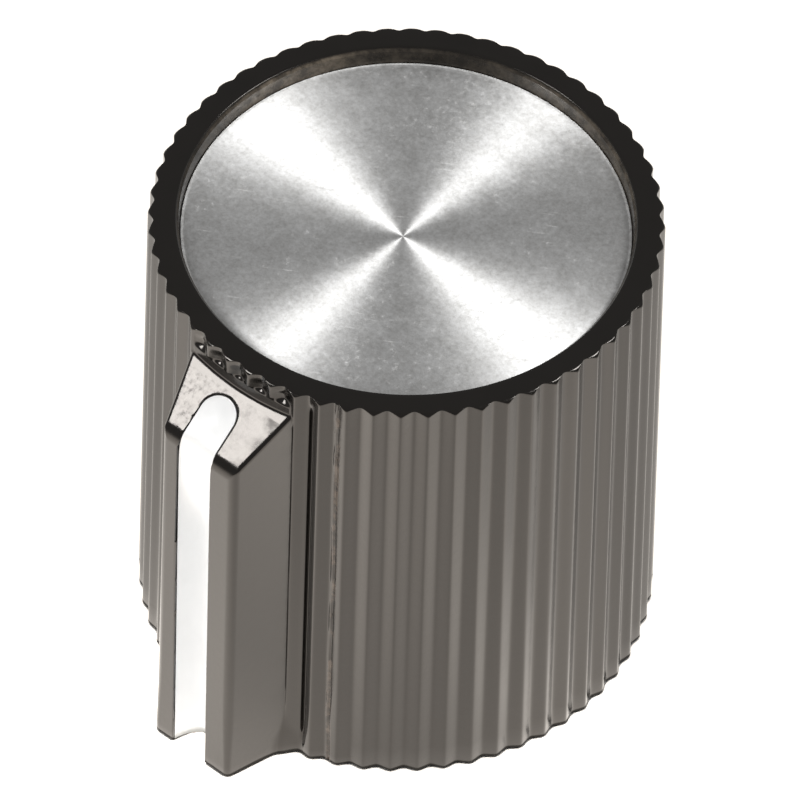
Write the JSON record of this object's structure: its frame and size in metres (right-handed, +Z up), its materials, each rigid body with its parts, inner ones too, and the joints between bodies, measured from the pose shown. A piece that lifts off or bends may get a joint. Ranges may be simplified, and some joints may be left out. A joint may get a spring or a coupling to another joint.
{
  "type": "pointer knob",
  "caption": "Round fluted control knob for a quarter-inch shaft, with a raised pointer rib, a white line in its groove and a turned metal disc sunk in the rim.",
  "frame": {"origin": "on the shaft axis, in the plane of the base rim", "axes": "+Z up along the shaft axis to the disc; the pointer lies along -Y and the set screw along +Y"},
  "size_m": [0.016, 0.0177, 0.0166],
  "materials": {
    "black_plastic": "black moulding, glossy, with fine moulding marks",
    "turned_aluminium": "bright circular turned finish",
    "adhesive": "translucent adhesive film",
    "white_paint": "white filled paint, slightly hollow",
    "brass": "turned brass",
    "screw_steel": "dark oxide steel"
  },
  "bodies": {
    "root": {"knob_body": "black_plastic", "cap_disc": "turned_aluminium", "cap_adhesive": "adhesive", "indicator_fill": "white_paint", "shaft_insert": "brass", "set_screw": "screw_steel"}
  },
  "joints": []
}
